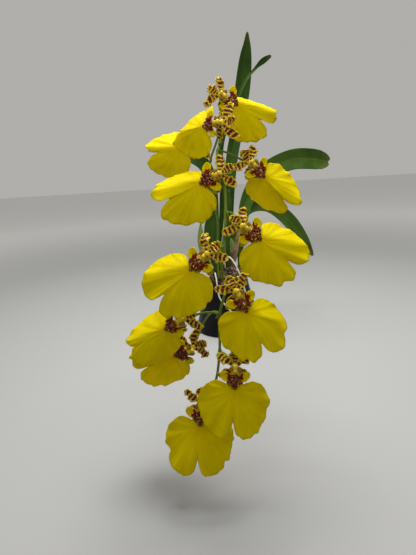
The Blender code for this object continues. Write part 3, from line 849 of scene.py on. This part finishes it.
def make_leaves(materials):
    """Every leaf, with its foot sunk a little into the bark or the top of its pseudobulb."""
    kinds = {"leaf_drooping": "leaf_fresh", "leaf_right": "leaf_fresh", "leaf_shoot": "leaf_shoot",
             "dry_sheath": "dry_leaf"}
    for name, (points, keel, tip_turn) in LEAVES.items():
        material = materials[kinds.get(name, "leaf")]
        x, y, z, width = points[0]
        points = [(x, y, z - (FOOT_IN_BARK if z < 90 else FOOT_IN_BULB), width)] + points
        notch = NOTCH if name == "leaf_right" else 0.0
        leaf = make_leaf(name + "_blade", points, keel, tip_turn, material, notch)
        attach(leaf, "root")
        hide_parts(name)


# Place of the middle, half width, half depth and height.
BULBS = {
    "pseudobulb_front": (-10, -6, 8, 5, 28),
    "pseudobulb_middle": (5, 1, 9, 6, 36),
    "pseudobulb_back": (-7, 12, 8, 5.5, 30),
}
BULB_TAPER = 0.22
HEAP_TOP = 76


def make_bulb(name, sizes, materials):
    """A flattened, ribbed pseudobulb with the torn papery scales that wrap its foot."""
    x, y, half_width, half_depth, height = sizes
    rings = 44
    sides = 72
    seed = x * 0.3 + y
    vertices = []
    petal = []
    for i in range(rings + 1):
        polar = pi * min(max(i / rings, 0.015), 0.985)
        upright = -cos(polar)
        level = HEAP_TOP + 0.3 + height * (1 + upright) / 2
        for angle in angles_round(sides):
            lumps = ripple(cos(angle) * 3, sin(angle) * 3, upright * 2 + seed)
            rib = 1 + 0.035 * cos(9 * angle + seed) + 0.03 * lumps
            reach = sin(polar) * (1 - BULB_TAPER * max(upright, 0)) * rib
            vertices.append(Vector((x + half_width * reach * cos(angle),
                                    y + half_depth * reach * sin(angle), level)) * MM)
            petal.append((sin(angle) * 4, (1 + upright) / 2, seed))
    pieces = [new_object(name + "_body", vertices, capped_faces(rings + 1, sides), materials["bulb"], petal)]
    for i, (facing, tall) in enumerate(((-90, 0.62), (20, 0.5), (150, 0.55))):
        scale = make_scale(name + "_scale", sizes, height * tall, facing, seed + i, materials["dry_leaf"])
        pieces.append(scale)
    return join(pieces, name + "_body")


def make_scale(name, sizes, tall, facing, seed, material):
    """One dry scale round the foot of a pseudobulb, torn to a ragged point."""
    x, y, half_width, half_depth, height = sizes
    rows = 14
    columns = 15
    vertices = []
    petal = []
    for share in spaced(rows):
        upright = 2 * share * tall / height - 0.97
        belly = sqrt(max(1 - upright * upright, 0.02)) * (1 - BULB_TAPER * max(upright, 0))
        spread = 62 * (1 - 0.82 * share ** 1.5)
        for t in spaced(columns, -1):
            torn = 0.12 * ripple(t * 4.0, seed, 0.5) * share
            angle = radians(facing + t * spread)
            off = 0.45 + 0.5 * share ** 3 + 0.3 * ripple(t * 2.0, share * 3.0, seed)
            vertices.append(Vector((x + (half_width * belly + off) * cos(angle),
                                    y + (half_depth * belly + off) * sin(angle),
                                    HEAP_TOP + 0.4 + tall * share * (1 + torn))) * MM)
            petal.append((t, share, seed))
    made = new_object(name, vertices, grid_faces(rows, columns), material, petal)
    return thicken(made, PAPER_THICKNESS, 0.0)


# ---- bark, roots, pot

HEAP_FLAT_RADIUS = 13
HEAP_EDGE_RADIUS = 22.8
HEAP_DROP = 16.8
BARK_TURNS = 72
CHIPS = 210
OLD_ROOTS = 16
AERIAL_ROOT_RADIUS = 0.8
POT_TURNS = 160
DRAIN_RADIUS = 3.5
DRAIN_DISTANCE = 24


def heap_height(radius):
    """The bark's top surface at this distance from the pot's middle, in millimetres."""
    share = max(0.0, radius - HEAP_FLAT_RADIUS) / (HEAP_EDGE_RADIUS - HEAP_FLAT_RADIUS)
    return HEAP_TOP - HEAP_DROP * min(share, 1.15) ** 1.6


def make_chip(rng, place, size, material):
    """A broken, angular piece of bark."""
    box = bpy.data.meshes.new("chip")
    corners = [(a, b, c) for a in (-1, 1) for b in (-1, 1) for c in (-1, 1)]
    shape = [size * rng.uniform(low, high) for low, high in ((0.7, 1.3), (0.45, 0.8), (0.25, 0.5))]
    vertices = []
    for corner in corners:
        jitter = [rng.uniform(low, 1.1) for low in (0.55, 0.55, 0.5)]
        vertices.append([a * b * c for a, b, c in zip(corner, shape, jitter)])
    faces = [(0, 1, 3, 2), (4, 6, 7, 5), (0, 4, 5, 1), (2, 3, 7, 6), (0, 2, 6, 4), (1, 5, 7, 3)]
    box.from_pydata(vertices, [], faces)
    box.materials.append(material)
    chip = bpy.data.objects.new("chip", box)
    link(chip)
    edges = chip.modifiers.new("edges", "BEVEL")
    edges.width = size * 0.16
    edges.segments = 2
    apply_modifiers(chip)
    turn = Matrix.Rotation(rng.uniform(0, 6.28), 3, "Z") @ Matrix.Rotation(rng.uniform(-0.7, 0.7), 3, "X")
    for vertex in chip.data.vertices:
        rough = 1 + 0.22 * noise.noise(vertex.co * 1.1 + Vector((size, place.x, place.y)))
        vertex.co = (place + turn @ (vertex.co * rough)) * MM
    return chip


def make_bark(materials):
    """The heaped bark: a rough core that fills the pot, loose chips on top, and old roots between them."""
    rng = random.Random(12)
    profile = [(0, HEAP_TOP), (5, HEAP_TOP), (9, HEAP_TOP), (HEAP_FLAT_RADIUS, HEAP_TOP)]
    for step in range(1, 8):
        radius = HEAP_FLAT_RADIUS + (HEAP_EDGE_RADIUS - HEAP_FLAT_RADIUS) * step / 7
        profile.append((radius, heap_height(radius)))
    profile += [(23.8, 56), (30, 30), (36.5, 6), (37.2, 2.4), (20, 2.4), (0.4, 2.4)]
    vertices = []
    for spot in turned_points(profile, BARK_TURNS):
        dent = 1.3 * noise.noise(spot * 0.22) - 1.5 if spot.z > 57 else 0.0
        vertices.append((spot + Vector((0, 0, dent))) * MM)
    faces = flipped(capped_faces(len(profile), BARK_TURNS))
    pieces = [new_object("bark_core", vertices, faces, materials["bark"])]
    for i in range(CHIPS):
        radius = 22.0 * sqrt(rng.uniform(0.0, 1.0))
        angle = rng.uniform(0, 2 * pi)
        size = rng.uniform(1.6, 3.4)
        lift = rng.uniform(-1.4, -0.2) if radius < 16 else rng.uniform(-1.8, -0.6)
        place = polar_point(radius, angle, heap_height(radius) + lift)
        pieces.append(make_chip(rng, place, size, materials["bark" if i % 3 else "bark_light"]))
    for i in range(OLD_ROOTS):
        pieces.append(make_old_root(rng, i, materials))
    bark = join(pieces, "bark_heap")
    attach(bark, "root")
    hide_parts("bark_mix")


def make_old_root(rng, number, materials):
    """A root that winds over the bark from the foot of the bulbs towards the rim."""
    start = rng.uniform(0, 2 * pi)
    bend = rng.uniform(-0.9, 0.9)
    thick = rng.uniform(0.55, 0.95)
    points = []
    for share in spaced(6):
        radius = 4 + 17.5 * share
        angle = start + bend * share + 0.25 * sin(4 * share + number)
        lift = 0.1 + 0.5 * sin(5 * share + number)
        points.append(polar_point(radius, angle, heap_height(radius) + lift))

    def radius_at(share, angle):
        return thick * MM * (1 + 0.12 * sin(3 * angle + share * 20)) * (1 - 0.4 * share)

    route = smooth_route(in_metres(points), 30)
    return tube("old_root", route, radius_at, 9, materials["old_root" if number % 4 else "root"])


def make_aerial_root(name, points, material):
    """A hanging root: knobbly, slightly swollen at its blunt tip."""
    route = smooth_route(in_metres(points), 80)

    def radius_at(share, angle):
        knobs = 0.1 * ripple(share * 18, cos(angle), sin(angle))
        tip = 1 - 0.55 * eased(share, 0.97, 1.0)
        return AERIAL_ROOT_RADIUS * MM * (1.05 + knobs + 0.12 * eased(share, 0.85, 0.95)) * tip

    root = tube(name + "_hanging", route, radius_at, 16, material)
    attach(root, "root")
    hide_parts(name)


def make_pot(material):
    """A plain moulded pot, wider at the foot, with a rolled rim and four drain holes."""
    profile = [
        (0.3, 2.0), (20, 2.0), (36.6, 2.0), (37.6, 2.6), (37.7, 3.6), (23.9, 56.5), (23.5, 58.6),
        (23.6, 59.4), (24.1, 59.9), (24.7, 60), (25.3, 59.8), (25.7, 59.3), (25.8, 58.6), (25.75, 57.8),
        (25.6, 57.3), (25.7, 56.9), (26.2, 55.4), (29, 44.2), (33, 28.2), (37, 12.1), (39.5, 2.4),
        (39.7, 1.3), (39.4, 0.5), (38.8, 0.0), (36, 0.0), (35.4, 0.5), (20, 0.5), (19.4, 0.0), (17, 0.0),
        (16.4, 0.5), (0.3, 0.5),
    ]
    vertices = [point * MM for point in turned_points(profile, POT_TURNS)]
    faces = flipped(capped_faces(len(profile), POT_TURNS))
    pot = new_object("pot_shell", vertices, faces, material)
    for i in range(4):
        middle = polar_point(DRAIN_DISTANCE, radians(45 + 90 * i), 1) * MM
        route = [middle + Vector((0, 0, z * MM)) for z in (-6, -2, 2, 6)]
        drill = tube("drain_cutter", route, lambda share, angle: DRAIN_RADIUS * MM, 40, material)
        cut = pot.modifiers.new("drain", "BOOLEAN")
        cut.operation = "DIFFERENCE"
        cut.object = drill
        apply_modifiers(pot)
        bpy.data.objects.remove(drill)
    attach(pot, "root")
    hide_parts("pot")


# ---- room and camera

FLOOR_HALF = 4
FLOOR_DROP = 0.0002
CAMERA_PLACE = (-0.02248, -0.5176, 0.195)
CAMERA_LENS = 28.54
LOOKING_DOWN = 14.2
ROLL = 3.5


def make_floor():
    """A pale matt floor with painted shade, which makes it a little darker near the pot."""
    s = Shader("floor_pale", 0.7)
    cloud = s.grain(1.5, 2.0)
    # Painted shade: the floor's colour is dark round the pot and turns pale further out.
    near = s.mix(cloud, (0.28, 0.285, 0.282), (0.305, 0.305, 0.302))
    distance = s.add("ShaderNodeVectorMath", operation="LENGTH")
    s.feed(distance.inputs[0], s.place())
    s.colour(s.mix(s.spread(distance.outputs["Value"], 0.45, 1.3), near, (0.82, 0.82, 0.80)))
    corners = [(x * FLOOR_HALF, y * FLOOR_HALF, -FLOOR_DROP) for x, y in ((-1, -1), (1, -1), (1, 1), (-1, 1))]
    floor = new_object("floor", corners, [(0, 1, 2, 3)], s.material)


def make_light(name, size, energy, place, target, colour=(1, 1, 1), spread=180):
    light = bpy.data.lights.new(name, "AREA")
    light.shape = "DISK"
    light.size = size
    light.energy = energy
    light.color = colour
    light.spread = radians(spread)
    lamp = bpy.data.objects.new(name, light)
    lamp.location = place
    lamp.rotation_euler = (Vector(target) - Vector(place)).to_track_quat("-Z", "Y").to_euler()
    link(lamp)


def make_room():
    """The floor, a soft lamp above, one on the top flowers, a weak one at the side, and a pale sky."""
    make_floor()
    make_light("overhead", 0.5, 10.0, (0.02, -0.05, 0.80), (0, -0.16, 0.1), (1, 0.99, 0.97))
    make_light("spray", 0.14, 0.07, (-0.05, -0.47, 0.44), (-0.01, -0.225, 0.235), (1, 1, 0.98), 60)
    make_light("fill", 1.6, 1, (-0.7, -1.5, 0.9), (0, -0.12, 0.15))
    world = bpy.data.worlds.new("room")
    world.use_nodes = True
    backdrop = world.node_tree.nodes["Background"]
    backdrop.inputs["Color"].default_value = (0.80, 0.79, 0.76, 1)
    backdrop.inputs["Strength"].default_value = 0.54
    bpy.context.scene.world = world
    bpy.context.scene.view_settings.view_transform = "Standard"


def make_camera():
    """In front of the spray, level with its upper flowers, looking a little down and rolled a little."""
    down = radians(LOOKING_DOWN)
    roll = radians(ROLL)
    forward = Vector((0, cos(down), -sin(down)))
    level = Vector((1, 0, 0))
    upright = Vector((0, sin(down), cos(down)))
    right = level * cos(roll) - upright * sin(roll)
    up = upright * cos(roll) + level * sin(roll)
    data = bpy.data.cameras.new("camera")
    data.lens = CAMERA_LENS
    data.sensor_width = 36
    data.clip_start = 0.01
    camera = bpy.data.objects.new("camera", data)
    turn = Matrix((right, up, -forward)).transposed()
    camera.matrix_world = Matrix.Translation(CAMERA_PLACE) @ turn.to_4x4()
    link(camera)
    bpy.context.scene.camera = camera


def main():
    # Dark, light and midrib green, and the roughness, of the old leaves, the fresh ones and the shoot.
    old = ((0.020, 0.048, 0.004), (0.042, 0.092, 0.010), (0.06, 0.12, 0.016), 0.4)
    fresh = ((0.030, 0.072, 0.007), (0.070, 0.135, 0.014), (0.10, 0.17, 0.025), 0.4)
    shoot = ((0.16, 0.26, 0.05), (0.28, 0.40, 0.09), (0.34, 0.45, 0.13), 0.45)
    materials = {
        "lip": lip_material(),
        "tepal": tepal_material(),
        "crest": crest_material(),
        "column": column_material(),
        "leaf": leaf_material("leaf_green", *old),
        "leaf_fresh": leaf_material("leaf_fresh", *fresh),
        "leaf_shoot": leaf_material("leaf_shoot", *shoot),
        "stem": stem_material(),
        "bulb": bulb_material(),
        "dry_leaf": dry_material("dry_scale", (0.10, 0.055, 0.02), (0.30, 0.19, 0.09), 0.75),
        "bark": dry_material("bark_dark", (0.018, 0.010, 0.006), (0.075, 0.042, 0.022), 0.9),
        "bark_light": dry_material("bark_light", (0.05, 0.026, 0.013), (0.14, 0.08, 0.04), 0.85),
        "old_root": dry_material("old_root", (0.09, 0.06, 0.03), (0.26, 0.19, 0.11), 0.8),
        "root": root_material(),
        "pot": pot_material(),
    }
    make_pot(materials["pot"])
    make_bark(materials)
    for name, sizes in BULBS.items():
        bulb = make_bulb(name, sizes, materials)
        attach(bulb, "root")
        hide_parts(name)
    make_leaves(materials)
    for name, points in ROOTS.items():
        make_aerial_root(name, points, materials["root"])
    route = smooth_route(in_metres(SPIKE_ROUTE), 64)
    bracts = make_flowers(route, materials)
    make_spike(route, bracts, materials["stem"])
    make_room()
    make_camera()


main()
